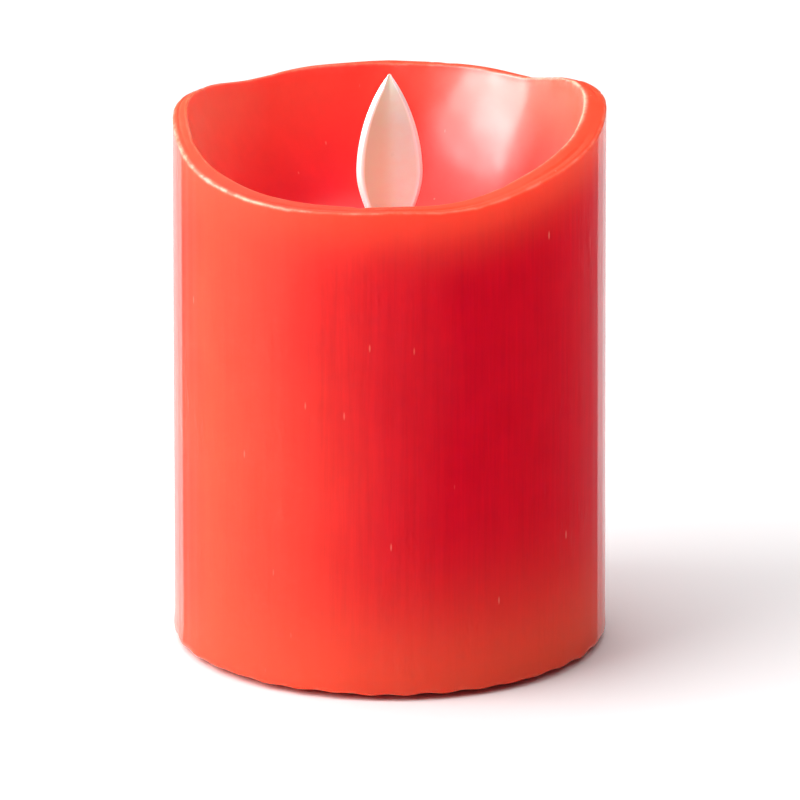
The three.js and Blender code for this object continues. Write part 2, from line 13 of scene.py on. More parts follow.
import bmesh
import bpy
import numpy as np
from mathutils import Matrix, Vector


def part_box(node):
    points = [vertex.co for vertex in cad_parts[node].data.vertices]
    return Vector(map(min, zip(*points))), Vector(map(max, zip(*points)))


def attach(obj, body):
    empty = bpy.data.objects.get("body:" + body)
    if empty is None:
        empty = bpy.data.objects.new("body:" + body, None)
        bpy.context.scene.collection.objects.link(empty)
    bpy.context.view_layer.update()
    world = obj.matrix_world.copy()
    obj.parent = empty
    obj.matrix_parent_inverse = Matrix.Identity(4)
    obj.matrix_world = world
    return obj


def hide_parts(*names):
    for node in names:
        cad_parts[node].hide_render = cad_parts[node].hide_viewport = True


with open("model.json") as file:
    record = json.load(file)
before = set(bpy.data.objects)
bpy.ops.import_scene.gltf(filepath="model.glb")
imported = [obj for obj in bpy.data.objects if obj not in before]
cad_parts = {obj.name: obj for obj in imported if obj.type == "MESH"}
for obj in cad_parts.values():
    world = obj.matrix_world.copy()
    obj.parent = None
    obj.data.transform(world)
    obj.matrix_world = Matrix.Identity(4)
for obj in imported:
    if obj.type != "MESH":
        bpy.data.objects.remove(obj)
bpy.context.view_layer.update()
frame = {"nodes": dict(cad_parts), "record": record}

MM = 0.001
TAU = 2 * math.pi


def box_mm(node):
    """Lowest and highest corner of a CAD node, in millimetres."""
    low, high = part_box(node)
    return np.array(low) / MM, np.array(high) / MM


# Sizes worked out from the frame
shell_low, shell_high = box_mm("wax_shell")
core_high = box_mm("core_housing")[1]
blade_low, blade_high = box_mm("flame_blade")
wire_low, wire_high = box_mm("pivot_wire")

GAP = 0.3  # clearance between neighbouring parts
OUTER_RADIUS = shell_high[0]
RIM_RADIUS = OUTER_RADIUS - 0.5
RIM_WIDTH = 3.4
RIM_NOMINAL = 90.0  # height at which the rim is drawn, before it follows the CAD rim up and down
WAX_BOTTOM = shell_low[2]
BORE_RADIUS = core_high[0] + GAP
BORE_TOP = 62.3  # ceiling over the core's shoulder
BOWL_FLOOR = core_high[2] + 0.1
HOLE_RADIUS = 11.5  # hole in the bowl's floor
FLAT_RADIUS = HOLE_RADIUS + 4  # flat ring round that hole
PIVOT_HEIGHT = (wire_low[2] + wire_high[2]) / 2
DRILL_RADIUS = round((wire_high[2] - wire_low[2]) / 2, 3) + GAP
FLAME_TIP = blade_high[2]
BLADE_HALF_WIDTH = blade_high[0]
TAIL_BOTTOM = blade_low[2]

# Detail of the wax
WAX_SIDES = 400
EDGE_POINTS = 7  # outline points round each edge of the rim
CHIPS = 16  # on each edge of the rim


# Meshes


def make_object(name, vertices, faces):
    """A smooth-shaded mesh object from vertices in millimetres."""
    mesh = bpy.data.meshes.new(name)
    mesh.from_pydata([tuple(v) for v in np.asarray(vertices) * MM], [], faces)
    mesh.validate()
    mesh.polygons.foreach_set("use_smooth", [True] * len(mesh.polygons))
    made = bpy.data.objects.new(name, mesh)
    bpy.context.scene.collection.objects.link(made)
    return made


def grid_faces(rows, columns, wrap_rows, wrap_columns):
    """Quads between neighbouring points of a grid, joined end to end where it wraps."""
    faces = []
    for i in range(rows if wrap_rows else rows - 1):
        here = i * columns
        below = (i + 1) % rows * columns
        for j in range(columns if wrap_columns else columns - 1):
            beside = (j + 1) % columns
            faces.append((here + j, below + j, below + beside, here + beside))
    return faces


def turned(name, outline, sides, closed=False):
    """A shape turned about Z.

    Its outline of (radius, height) runs up the outside, and ends on the axis or on itself.
    """
    outline = np.array(outline, float)
    angles = np.arange(sides) / sides * TAU
    points = np.stack([
        np.outer(np.cos(angles), outline[:, 0]),
        np.outer(np.sin(angles), outline[:, 0]),
        np.broadcast_to(outline[:, 1], (sides, len(outline))),
    ], axis=-1).reshape(-1, 3)
    made = make_object(name, points, grid_faces(sides, len(outline), True, closed))
    weld(made)
    return made


@contextmanager
def mesh_edit(made):
    """An object's mesh, opened for editing and written back at the end."""
    shape = bmesh.new()
    shape.from_mesh(made.data)
    yield shape
    shape.to_mesh(made.data)
    shape.free()


def weld(made, distance=0.001):
    """Joins points that lie within a distance in millimetres, and drops the faces that vanish with them."""
    with mesh_edit(made) as shape:
        bmesh.ops.remove_doubles(shape, verts=shape.verts, dist=distance * MM)
        bmesh.ops.dissolve_degenerate(shape, dist=1e-8, edges=shape.edges)
        bmesh.ops.recalc_face_normals(shape, faces=shape.faces)


def apply_modifier(made, kind, **settings):
    """Adds a modifier, and makes its result the object's own mesh."""
    modifier = made.modifiers.new(kind.lower(), kind)
    for key, value in settings.items():
        setattr(modifier, key, value)
    graph = bpy.context.evaluated_depsgraph_get()
    mesh = bpy.data.meshes.new_from_object(made.evaluated_get(graph), depsgraph=graph)
    made.modifiers.clear()
    made.data = mesh


def cut_away(made, tool):
    """Subtracts a tool from the object, and deletes the tool."""
    apply_modifier(made, "BOOLEAN", operation="DIFFERENCE", solver="EXACT", object=tool)
    bpy.data.objects.remove(tool)


def shade_smooth_below(made, angle):
    """Shades an object smooth across edges flatter than an angle in degrees."""
    made.data.set_sharp_from_angle(angle=math.radians(angle))


def round_edges(made, width):
    """Rounds an object's sharp edges by a width in millimetres, and keeps its flat faces looking flat."""
    apply_modifier(
        made, "BEVEL", width=width * MM, segments=2, limit_method="ANGLE",
        angle_limit=math.radians(35), use_clamp_overlap=True, harden_normals=False,
    )
    made.data.polygons.foreach_set("use_smooth", [True] * len(made.data.polygons))
    shade_smooth_below(made, 40)
    apply_modifier(made, "WEIGHTED_NORMAL", keep_sharp=True, weight=100)


def rounded_copy(node, width):
    """A copy of a CAD node, with its flat faces whole again and its edges rounded."""
    source = frame["nodes"][node]
    made = bpy.data.objects.new("fine_" + node, source.data.copy())
    bpy.context.scene.collection.objects.link(made)
    made.data.materials.clear()
    weld(made, 0.01)
    with mesh_edit(made) as shape:
        bmesh.ops.dissolve_limit(
            shape, angle_limit=math.radians(1), use_dissolve_boundaries=False,
            verts=shape.verts, edges=shape.edges, delimit={"NORMAL"},
        )
    round_edges(made, width)
    return made


def arc(centre, radius, start, end, count):
    """Points (radius, height) along an arc, from one angle in degrees to another."""
    angles = np.radians(np.linspace(start, end, count))
    return [(centre[0] + radius * math.cos(a), centre[1] + radius * math.sin(a)) for a in angles]


def line(start, end, count):
    """Points from start up to, but without, end."""
    start, end = np.array(start), np.array(end)
    return [tuple(start + (end - start) * share) for share in np.arange(count) / count]


def bezier(points, count):
    """Points along the cubic curve of four control points, without the last one."""
    t = (np.arange(count) / count)[:, None]
    a, b, c, d = np.array(points, float)
    return (1 - t) ** 3 * a + 3 * (1 - t) ** 2 * t * b + 3 * (1 - t) * t ** 2 * c + t ** 3 * d


def store_values(made, name, values):
    """Stores one value for each point of an object's mesh, for its material to read."""
    made.data.attributes.new(name, "FLOAT", "POINT").data.foreach_set("value", np.ravel(values).astype(float))


def body_named(node):
    """The body that a CAD node rides on."""
    bodies = frame["record"]["behaviour"]["bodies"]
    return next(body for body, nodes in bodies.items() if node in nodes)


def slot_of(node):
    """The record's material slot of a CAD node."""
    parts = frame["record"]["subparts"]
    return next(part["material_slot"] for part in parts if part["node"] == node)


def stand_in(made, node, surface=None):
    """Lets a new piece stand for a CAD node on that node's body, in a finish where it has none yet."""
    if surface:
        made.data.materials.clear()
        made.data.materials.append(surface)
    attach(made, body_named(node))
    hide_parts(node)


# Materials


def srgb(red, green, blue):
    """A colour from 8-bit values, as the linear values that shaders take."""
    def linear(value):
        share = value / 255
        return share / 12.92 if share <= 0.04045 else ((share + 0.055) / 1.055) ** 2.4
    return (linear(red), linear(green), linear(blue), 1.0)


def add_node(tree, kind, inputs=None, **settings):
    """Adds a shader node, with its settings, and with its inputs linked or set."""
    made = tree.nodes.new(kind)
    for key, value in settings.items():
        setattr(made, key, value)
    for key, value in (inputs or {}).items():
        if isinstance(value, bpy.types.NodeSocket):
            tree.links.new(value, made.inputs[key])
        else:
            made.inputs[key].default_value = value
    return made


def new_surface(name, **uniform):
    """A material with its node tree, its shader and object coordinates in millimetres."""
    surface = bpy.data.materials.new(name)
    surface.use_nodes = True
    tree = surface.node_tree
    shader = tree.nodes["Principled BSDF"]
    for key, value in uniform.items():
        shader.inputs[key.replace("_", " ")].default_value = value
    where = add_node(tree, "ShaderNodeTexCoord").outputs["Object"]
    place = add_node(tree, "ShaderNodeVectorMath", {0: where, "Scale": 1 / MM}, operation="SCALE").outputs[0]
    return surface, tree, shader, place


def stretched(tree, place, x, y, z):
    """Coordinates scaled along each axis."""
    return add_node(tree, "ShaderNodeVectorMath", {0: place, 1: (x, y, z)}, operation="MULTIPLY").outputs[0]


def noise(tree, place, scale, detail=3.0, roughness=0.5):
    """Smooth noise between 0 and 1."""
    return add_node(tree, "ShaderNodeTexNoise", {
        "Vector": place, "Scale": scale, "Detail": detail, "Roughness": roughness,
    }).outputs[0]


def remap(tree, value, low, high, to_low=0.0, to_high=1.0):
    """A value moved from one range to another, and held within it."""
    return add_node(tree, "ShaderNodeMapRange", {
        "Value": value, "From Min": low, "From Max": high, "To Min": to_low, "To Max": to_high,
    }).outputs[0]


def maths(tree, operation, first, second):
    """One step of arithmetic on two values."""
    return add_node(tree, "ShaderNodeMath", {0: first, 1: second}, operation=operation).outputs[0]


def blend_colours(tree, share, first, second, kind="MIX"):
    """One colour mixed into another by a share."""
    return add_node(tree, "ShaderNodeMix", {
        0: share, 6: first, 7: second,
    }, data_type="RGBA", blend_type=kind).outputs[2]


def axes(tree, place):
    """The X, Y and Z values of coordinates."""
    return add_node(tree, "ShaderNodeSeparateXYZ", {0: place}).outputs


def colour_ramp(tree, value, stops):
    """A colour for each value, between stops of (value, colour), the first of them at 0 and the last at 1."""
    ramp = add_node(tree, "ShaderNodeValToRGB", {0: value})
    elements = ramp.color_ramp.elements
    elements[0].color = stops[0][1]
    elements[1].color = stops[-1][1]
    for share, colour in stops[1:-1]:
        elements.new(share).color = colour
    return ramp.outputs[0]


def attribute(tree, name):
    """A value stored on a mesh's points."""
    return add_node(tree, "ShaderNodeAttribute", attribute_name=name).outputs["Fac"]


def emboss(tree, shader, height, depth):
    """Bumps the surface by a height field, with a depth in millimetres."""
    bump = add_node(tree, "ShaderNodeBump", {"Height": height, "Strength": 1.0, "Distance": depth * MM})
    tree.links.new(bump.outputs[0], shader.inputs["Normal"])


def drive(tree, shader, **links):
    """Links values to the shader's inputs."""
    for key, value in links.items():
        tree.links.new(value, shader.inputs[key.replace("_", " ")])


# How light spreads inside the wax
WAX_DEPTH = {"Subsurface_Weight": 0.8, "Subsurface_Radius": (1.0, 0.14, 0.09), "Subsurface_Scale": 7 * MM}


def wax_coat(tree, place, ground, streak_strength, glow):
    """Adds streaks, mottling, a painted glow where light would come through the wax, a painted highlight
    along the rim's edges, and nicks to a ground colour.

    Returns the colour, the streaks and the nicks.
    """
    streaks = noise(tree, stretched(tree, place, 1.0, 1.0, 0.04), 1.3, 4.0, 0.65)
    mottle = noise(tree, place, 0.18, 3.0)
    streak_shade = remap(tree, streaks, 0.3, 0.7, 1 - streak_strength, 1 + streak_strength)
    shade = maths(tree, "MULTIPLY", streak_shade, remap(tree, mottle, 0.3, 0.7, 0.97, 1.03))
    grey = add_node(tree, "ShaderNodeCombineXYZ", {0: shade, 1: shade, 2: shade}).outputs[0]
    toned = blend_colours(tree, 1.0, ground, grey, "MULTIPLY")
    # Painted glow: paler orange-red where light would come through the wax.
    with_painted_glow = blend_colours(tree, attribute(tree, "painted_glow"), toned, glow)

    # Painted highlight along the rim's edges, pale and broken into dashes.
    dashes = remap(tree, noise(tree, place, 0.3, 4.0, 0.65), 0.42, 0.6, 0.25, 1.0)
    edge_highlight_share = maths(tree, "MULTIPLY", attribute(tree, "edge"), dashes)
    wear_and_highlight = remap(tree, edge_highlight_share, 0.0, 1.0, 0.0, 0.85)
    painted_edge_highlight = blend_colours(tree, wear_and_highlight, with_painted_glow, srgb(255, 195, 172))

    nick_place = stretched(tree, place, 0.5, 0.5, 0.12)
    from_nick = add_node(tree, "ShaderNodeTexVoronoi", {
        "Vector": nick_place, "Scale": 0.5, "Randomness": 1.0,
    }).outputs[0]
    nicks = remap(tree, from_nick, 0.03, 0.055, 1.0, 0.0)
    nick_share = maths(tree, "MULTIPLY", nicks, 0.5)
    return blend_colours(tree, nick_share, painted_edge_highlight, srgb(255, 150, 130)), streaks, nicks


def wall_wax_surface():
    """The pillar's wall: painted light and shade across it, from orange-red on the lit left to crimson on the
    shaded right, with fine streaks and a slight glossy skin.
    """
    surface, tree, shader, place = new_surface(
        "wall_wax", IOR=1.1, Coat_Roughness=0.12, Coat_IOR=1.45, **WAX_DEPTH,
    )
    # Painted light and shade: orange-red on the lit left, crimson on the shaded right, wobbled by noise.
    painted_light_across = (
        (-OUTER_RADIUS, (0.93, 0.055, 0.03, 1)),
        (-31.0, (0.93, 0.085, 0.042, 1)),
        (-22.0, (0.93, 0.07, 0.04, 1)),
        (-9.0, (0.8, 0.032, 0.03, 1)),
        (0.0, (0.74, 0.015, 0.026, 1)),
        (12.0, (0.68, 0.002, 0.018, 1)),
        (OUTER_RADIUS, (0.72, 0.001, 0.014, 1)),
    )
    stops = [((x + OUTER_RADIUS) / (2 * OUTER_RADIUS), colour) for x, colour in painted_light_across]
    drift = remap(tree, noise(tree, place, 0.03, 1.0), 0.2, 0.8, -4.0, 4.0)
    across = maths(tree, "ADD", axes(tree, place)[0], drift)
    painted_light_colour = colour_ramp(tree, remap(tree, across, -OUTER_RADIUS, OUTER_RADIUS), stops)
    # The glow colour is a painted glow near the rim and the foot.
    colour, streaks, nicks = wax_coat(tree, place, painted_light_colour, streak_strength=0.065, glow=(0.98, 0.1, 0.05, 1))

    facing = add_node(tree, "ShaderNodeLayerWeight", {"Blend": 0.5}).outputs["Facing"]
    drive(
        tree, shader, Base_Color=colour, Roughness=remap(tree, streaks, 0.25, 0.75, 0.3, 0.42),
        Coat_Weight=remap(tree, facing, 0.72, 0.745, 0.0, 0.7),
    )
    wrinkles = noise(tree, stretched(tree, place, 1.0, 1.0, 0.35), 0.5, 2.0)
    bruises = remap(tree, noise(tree, place, 0.06), 0.5, 0.65)
    bruised = maths(tree, "MULTIPLY", remap(tree, wrinkles, 0.45, 0.75), bruises)
    scored = maths(tree, "ADD", maths(tree, "MULTIPLY", streaks, 0.5), maths(tree, "MULTIPLY", nicks, -0.8))
    emboss(tree, shader, maths(tree, "ADD", scored, maths(tree, "MULTIPLY", bruised, 2.0)), 0.05)
    return surface


def melted_wax_surface(name, ior, back, front, glow, roughness):
    """The melted rim or bowl, smoother than the wall.

    Painted light and shade: its back has three colours from the left edge to the middle, paler towards the
    left edge, and its front has one. Low in the bowl, the left side is painted deeper in colour, as shade.
    """
    surface, tree, shader, place = new_surface(name, IOR=ior, **WAX_DEPTH)
    across, depth, height = axes(tree, place)
    # Painted light: the back is paler towards its left edge, and the front has a colour of its own.
    painted_light_back = colour_ramp(tree, remap(tree, across, -OUTER_RADIUS, 0.0), list(zip((0.0, 0.45, 1.0), back)))
    painted_light_colour = blend_colours(tree, remap(tree, depth, -32.0, 0.0), front, painted_light_back)
    # Painted shade: low in the bowl, the left side is deeper in colour.
    low_down = remap(tree, height, RIM_NOMINAL, BOWL_FLOOR + 5)
    painted_shade_low_left = maths(tree, "MULTIPLY", low_down, remap(tree, across, 6.0, -10.0))
    ground = blend_colours(tree, painted_shade_low_left, painted_light_colour, (0.84, 0.026, 0.042, 1))
    colour, _, _ = wax_coat(tree, place, ground, streak_strength=0.01, glow=glow)
    pools = noise(tree, place, 0.12, 1.0)
    gloss = remap(tree, pools, 0.3, 0.7, roughness, roughness + 0.1)
    drive(tree, shader, Base_Color=colour, Roughness=gloss)
    emboss(tree, shader, pools, 0.25)
    return surface


def bowl_wax_surface():
    """The glossy bowl."""
    # Painted light and shade: the back is paler and more orange at the left, the front is darker, and the
    # glow colour is a painted glow.
    return melted_wax_surface(
        "bowl_wax", ior=1.33, back=[(0.98, 0.3, 0.2, 1), (0.95, 0.1, 0.07, 1), (0.92, 0.045, 0.036, 1)],
        front=(0.9, 0.028, 0.034, 1), glow=(1.0, 0.17, 0.09, 1), roughness=0.3,
    )


def rim_wax_surface():
    """The rim, duller than the bowl."""
    # Painted light: the back is slightly paler towards the left, and the glow colour is a painted glow.
    return melted_wax_surface(
        "rim_wax", ior=1.15, back=[(0.96, 0.1, 0.045, 1), (0.96, 0.1, 0.04, 1), (0.96, 0.075, 0.03, 1)],
        front=(0.95, 0.07, 0.03, 1), glow=(0.97, 0.08, 0.035, 1), roughness=0.4,
    )


def flame_surface():
    """Milky peach plastic with painted light: its left half is painted darker than its right half, and its
    bevelled rim is painted whiter, with a painted glow brightest at the left.
    """
    surface, tree, shader, place = new_surface(
        "flame_plastic", IOR=1.45, Subsurface_Weight=0.4, Subsurface_Radius=(1.0, 0.6, 0.4),
        Subsurface_Scale=1.2 * MM, Coat_Weight=1.0, Coat_Roughness=0.3, Emission_Color=(1.0, 0.92, 0.86, 1),
    )
    across = axes(tree, place)[0]
    # Painted shade: the left half of the face is darker peach, the right half paler pink.
    shaded_left_face = (0.76, 0.8, 0.58, 1)
    lit_right_face = (0.78, 0.88, 0.78, 1)
    face = blend_colours(tree, remap(tree, across, -1.5, 1.5), shaded_left_face, lit_right_face)
    grain = noise(tree, place, 0.5, 4.0)
    toned = blend_colours(tree, remap(tree, grain, 0.35, 0.7, 0.0, 0.3), face, (0.82, 0.7, 0.55, 1))
    # Painted highlight: the bevelled rim is painted near white.
    edge_painted_white = blend_colours(tree, attribute(tree, "edge"), toned, (0.99, 0.98, 0.95, 1))
    # Painted glow on the bevelled rim, brightest at the left.
    painted_glow_strength = remap(tree, across, -2.0, 2.0, 0.4, 0.06)
    drive(
        tree, shader, Base_Color=edge_painted_white, Roughness=remap(tree, grain, 0.2, 0.8, 0.25, 0.4),
        Emission_Strength=maths(tree, "MULTIPLY", attribute(tree, "edge"), painted_glow_strength),
    )
    emboss(tree, shader, noise(tree, place, 2.5, 3.0), 0.03)
    return surface


def plastic_surface(name, colour, wear_and_highlight, roughness, grain=6.0):
    """Moulded plastic: spark-eroded grain, slight cloudiness and paler rubbed patches."""
    surface, tree, shader, place = new_surface(name, IOR=1.46)
    clouds = noise(tree, place, 0.12, 4.0)
    sparks = noise(tree, place, grain, 2.0)
    patches = remap(tree, clouds, 0.45, 0.75, 0.0, 0.5)
    toned = blend_colours(tree, patches, colour, wear_and_highlight)
    unevenness = maths(tree, "ADD", clouds, maths(tree, "MULTIPLY", sparks, 0.4))
    gloss = remap(tree, unevenness, 0.4, 1.0, roughness - 0.08, roughness + 0.1)
    drive(tree, shader, Base_Color=toned, Roughness=gloss)
    emboss(tree, shader, sparks, 0.02)
    return surface


def metal_surface(name, colour, stain, roughness):
    """Plated or drawn metal, with fine scratches along one way and slight staining."""
    surface, tree, shader, place = new_surface(name, Metallic=1.0)
    scratches = noise(tree, stretched(tree, place, 1.0, 1.0, 12.0), 1.5, 5.0, 0.7)
    stains = noise(tree, place, 0.5, 4.0)
    toned = blend_colours(tree, remap(tree, stains, 0.45, 0.8, 0.0, 0.6), colour, stain)
    gloss = remap(tree, scratches, 0.2, 0.8, roughness - 0.08, roughness + 0.12)
    drive(tree, shader, Base_Color=toned, Roughness=gloss)
    emboss(tree, shader, scratches, 0.01)
    return surface


def board_surface():
    """Green solder mask over faint copper tracks, with a woven glass texture below."""
    surface, tree, shader, place = new_surface("solder_mask", IOR=1.5, Coat_Weight=0.4, Coat_Roughness=0.15)
    tracks = add_node(tree, "ShaderNodeTexBrick", {
        "Vector": place, "Scale": 0.16, "Mortar Size": 0.05, "Mortar Smooth": 0.2,
        "Color1": srgb(24, 92, 52), "Color2": srgb(20, 84, 46), "Mortar": srgb(58, 132, 74),
    })
    weave = add_node(tree, "ShaderNodeTexWave", {
        "Vector": place, "Scale": 1.6, "Distortion": 1.0,
    }).outputs["Fac"]
    weave_share = maths(tree, "MULTIPLY", weave, 0.15)
    toned = blend_colours(tree, weave_share, tracks.outputs["Color"], srgb(12, 60, 32))
    drive(tree, shader, Base_Color=toned, Roughness=remap(tree, weave, 0.0, 1.0, 0.35, 0.5))
    emboss(tree, shader, tracks.outputs["Fac"], 0.03)
    return surface


def winding_surface():
    """Enamelled copper wire, with painted shade between its turns."""
    surface, tree, shader, place = new_surface(
        "enamelled_copper", Metallic=1.0, Coat_Weight=0.6, Coat_Roughness=0.1,
    )
    # Painted shade in the creases between the turns of wire.
    toned = blend_colours(tree, attribute(tree, "shade_between_turns"), srgb(196, 106, 52), srgb(84, 34, 16))
    fray = noise(tree, stretched(tree, place, 0.3, 0.3, 4.0), 2.0, 3.0)
    drive(tree, shader, Base_Color=toned, Roughness=remap(tree, fray, 0.2, 0.8, 0.22, 0.42))
    emboss(tree, shader, fray, 0.02)
    return surface


def banded_surface(name, axis, start, length, bands, roughness, ground):
    """A lightly grained ground with colour bands across one axis, from a start over a length in millimetres.

    Each band is (begin, end, colour), with its begin and end as shares of the length.
    """
    surface, tree, shader, place = new_surface(name, IOR=1.5, Coat_Weight=0.3)
    ramp = add_node(tree, "ShaderNodeValToRGB", {
        0: remap(tree, axes(tree, place)[axis], start, start + length),
    })
    ramp.color_ramp.interpolation = "CONSTANT"
    stops = ramp.color_ramp.elements
    stops[0].color = ground
    stops.remove(stops[1])
    for begin, end, colour in bands:
        stops.new(begin).color = colour
        stops.new(end).color = ground
    grain = noise(tree, place, 1.2, 4.0)
    toned = blend_colours(tree, remap(tree, grain, 0.4, 0.8, 0.0, 0.18), ramp.outputs[0], srgb(60, 52, 48))
    gloss = remap(tree, grain, 0.2, 0.8, roughness - 0.06, roughness + 0.08)
    drive(tree, shader, Base_Color=toned, Roughness=gloss)
    emboss(tree, shader, grain, 0.02)
    return surface


def resin_surface():
    """Clear warm epoxy with faint flow lines."""
    surface, tree, shader, place = new_surface("lamp_resin", IOR=1.5, Transmission_Weight=0.75)
    flow = noise(tree, place, 0.7, 3.0)
    toned = blend_colours(tree, flow, srgb(255, 240, 205), srgb(255, 226, 170))
    drive(tree, shader, Base_Color=toned, Roughness=remap(tree, flow, 0.2, 0.8, 0.04, 0.12))
    emboss(tree, shader, flow, 0.02)
    return surface


def rubber_surface():
    """Matte black rubber with a dusty bloom."""
    surface, tree, shader, place = new_surface("foot_rubber", IOR=1.45, Sheen_Weight=0.3, Sheen_Roughness=0.5)
    dust = noise(tree, place, 0.8, 5.0, 0.6)
    toned = blend_colours(tree, remap(tree, dust, 0.45, 0.75, 0.0, 0.4), srgb(34, 34, 36), srgb(96, 92, 90))
    drive(tree, shader, Base_Color=toned, Roughness=remap(tree, dust, 0.2, 0.8, 0.7, 0.9))
    emboss(tree, shader, noise(tree, place, 5.0, 2.0), 0.03)
    return surface


# Wax


def rim_heights():
    """Height of the CAD rim at even steps round the candle, anticlockwise from +X."""
    steps = 64
    points = np.array([v.co for v in frame["nodes"]["wax_shell"].data.vertices]) / MM
    sector = np.round(np.arctan2(points[:, 1], points[:, 0]) / TAU * steps).astype(int) % steps
    heights = np.zeros(steps)
    np.maximum.at(heights, sector, points[:, 2])
    return heights


def smooth_round(samples, angles):
    """The smooth closed curve through evenly spaced samples, at any angles."""
    waves = np.fft.rfft(samples) / len(samples)
    turns = np.arange(len(waves))
    weights = np.where((turns == 0) | (turns == len(samples) // 2), 1, 2)
    return np.real(np.exp(1j * np.outer(angles, turns)) @ (weights * waves))


def ripples(angle, height, seed, turns, climb, count):
    """Random waves round and up the wall, mostly between -1 and 1, which close on themselves round it."""
    random = np.random.default_rng(seed)
    total = np.zeros(np.broadcast(angle, height).shape)
    for _ in range(count):
        around = random.integers(turns[0], turns[1])
        total += np.cos(around * angle + random.uniform(-climb, climb) * height + random.uniform(0, TAU))
    return total / math.sqrt(count)


def ripples_round(angle, seed, turns, count):
    """Random waves round the candle, the same at every height."""
    return ripples(angle, np.zeros_like(angle), seed, turns, 0, count)


def bell(distance, width):
    """1 in the middle, and falling smoothly to 0 beyond the width."""
    return np.exp(-(distance / width) ** 2)


def turn_from(angle, other):
    """The shorter way round from one angle to another, from half a turn back to half a turn on."""
    return np.angle(np.exp(1j * (angle - other)))


def wax_outline():
    """The shell's closed outline at the nominal rim height, and the index at which each stretch starts."""
    foot_round = 0.9
    outer_round = 0.4
    inner_round = 0.5
    hole_round = 0.4
    rim_inner = RIM_RADIUS - RIM_WIDTH
    foot_centre = (OUTER_RADIUS - foot_round, WAX_BOTTOM + foot_round)
    wall_start = (OUTER_RADIUS, WAX_BOTTOM + foot_round + 0.6)
    upper_start = (RIM_RADIUS, RIM_NOMINAL - outer_round - 1.2)
    upper_end = (RIM_RADIUS, RIM_NOMINAL - outer_round)
    outer_centre = (RIM_RADIUS - outer_round, RIM_NOMINAL - outer_round)
    rim_start = (outer_centre[0] - 0.15, RIM_NOMINAL)
    inner_centre = (rim_inner + inner_round, RIM_NOMINAL - inner_round)
    bowl_top = (rim_inner, RIM_NOMINAL - inner_round)
    bowl_wall_foot = (rim_inner - 4, BOWL_FLOOR + 7)
    floor_start = (FLAT_RADIUS, BOWL_FLOOR)
    hole_centre = (HOLE_RADIUS + hole_round, BOWL_FLOOR - hole_round)
    stretches = {
        "base": line((BORE_RADIUS, WAX_BOTTOM), (foot_centre[0], WAX_BOTTOM), 4),
        "foot": arc(foot_centre, foot_round, -90, 0, 6),
        "wall": line(wall_start, upper_start, 52),
        "upper_wall": line(upper_start, upper_end, 4),
        "outer_edge": arc(outer_centre, outer_round, 0, 90, EDGE_POINTS),
        "rim": line(rim_start, (inner_centre[0], RIM_NOMINAL), 16),
        "inner_edge": arc(inner_centre, inner_round, 90, 180, EDGE_POINTS),
        "bowl": bezier([bowl_top, bowl_wall_foot, (FLAT_RADIUS + 8, BOWL_FLOOR), floor_start], 45)[1:],
        "floor": line(floor_start, (hole_centre[0], BOWL_FLOOR), 4),
        "hole_edge": arc(hole_centre, hole_round, 90, 180, 4),
        "hole": line((HOLE_RADIUS, BOWL_FLOOR - 1), (HOLE_RADIUS, BORE_TOP), 4),
        "ceiling": line((HOLE_RADIUS, BORE_TOP), (BORE_RADIUS, BORE_TOP), 6),
        "bore": line((BORE_RADIUS, BORE_TOP), (BORE_RADIUS, WAX_BOTTOM), 12),
    }
    starts = {}
    points = []
    for name, stretch in stretches.items():
        starts[name] = len(points)
        points.extend(tuple(point) for point in stretch)
    return np.array(points), starts


def wax_grid():
    """The shell's surface, with a row for each step round the candle and a column for each outline point.

    An off_ value is how far a column lies along the outline from the place it is named after.
    """
    outline, starts = wax_outline()
    outer_edge = starts["outer_edge"] + EDGE_POINTS // 2
    inner_edge = starts["inner_edge"] + EDGE_POINTS // 2
    angle = (np.arange(WAX_SIDES) / WAX_SIDES * TAU)[:, None]
    index = np.arange(len(outline))[None, :]
    along = np.concatenate([[0], np.cumsum(np.hypot(*np.diff(outline, axis=0).T))])[None, :]
    ripple = 0.04 * ripples_round(angle, seed=3, turns=(6, 24), count=6)
    rim = smooth_round(rim_heights(), angle[:, 0])[:, None] + ripple
    stretch = (rim - BOWL_FLOOR) / (RIM_NOMINAL - BOWL_FLOOR)
    radius, drawn = (np.broadcast_to(values, (WAX_SIDES, len(outline))).copy() for values in outline.T)
    off_outer_edge = along - along[0, outer_edge]
    off_inner_edge = along - along[0, inner_edge]
    return SimpleNamespace(
        starts=starts, inner_edge=inner_edge, index=index, angle=angle, rim=rim, radius=radius,
        height=np.where(drawn > BOWL_FLOOR, BOWL_FLOOR + (drawn - BOWL_FLOOR) * stretch, drawn),
        off_foot=along - along[0, starts["wall"] - 1],
        off_outer_edge=off_outer_edge,
        off_inner_edge=off_inner_edge,
        across_rim=np.clip(off_outer_edge / (along[0, inner_edge] - along[0, outer_edge]), 0, 1),
        is_raised=index >= starts["foot"],
        is_outside=(index >= starts["foot"]) & (index < starts["rim"]),
        is_bowl=(index >= starts["inner_edge"]) & (index < starts["floor"]),
    )


def roughen_wall(wax):
    """Gives the wall long swells and fine ripples, mostly inwards."""
    swells = 0.06 * ripples(wax.angle, wax.height, seed=5, turns=(2, 7), climb=0.05, count=6)
    fine = 0.015 * ripples(wax.angle, wax.height, seed=6, turns=(30, 90), climb=0.01, count=8)
    inset = 0.05
    is_wall = wax.is_outside & (wax.height > WAX_BOTTOM + 1.5)
    wax.radius += np.where(is_wall, swells + fine - inset, 0)


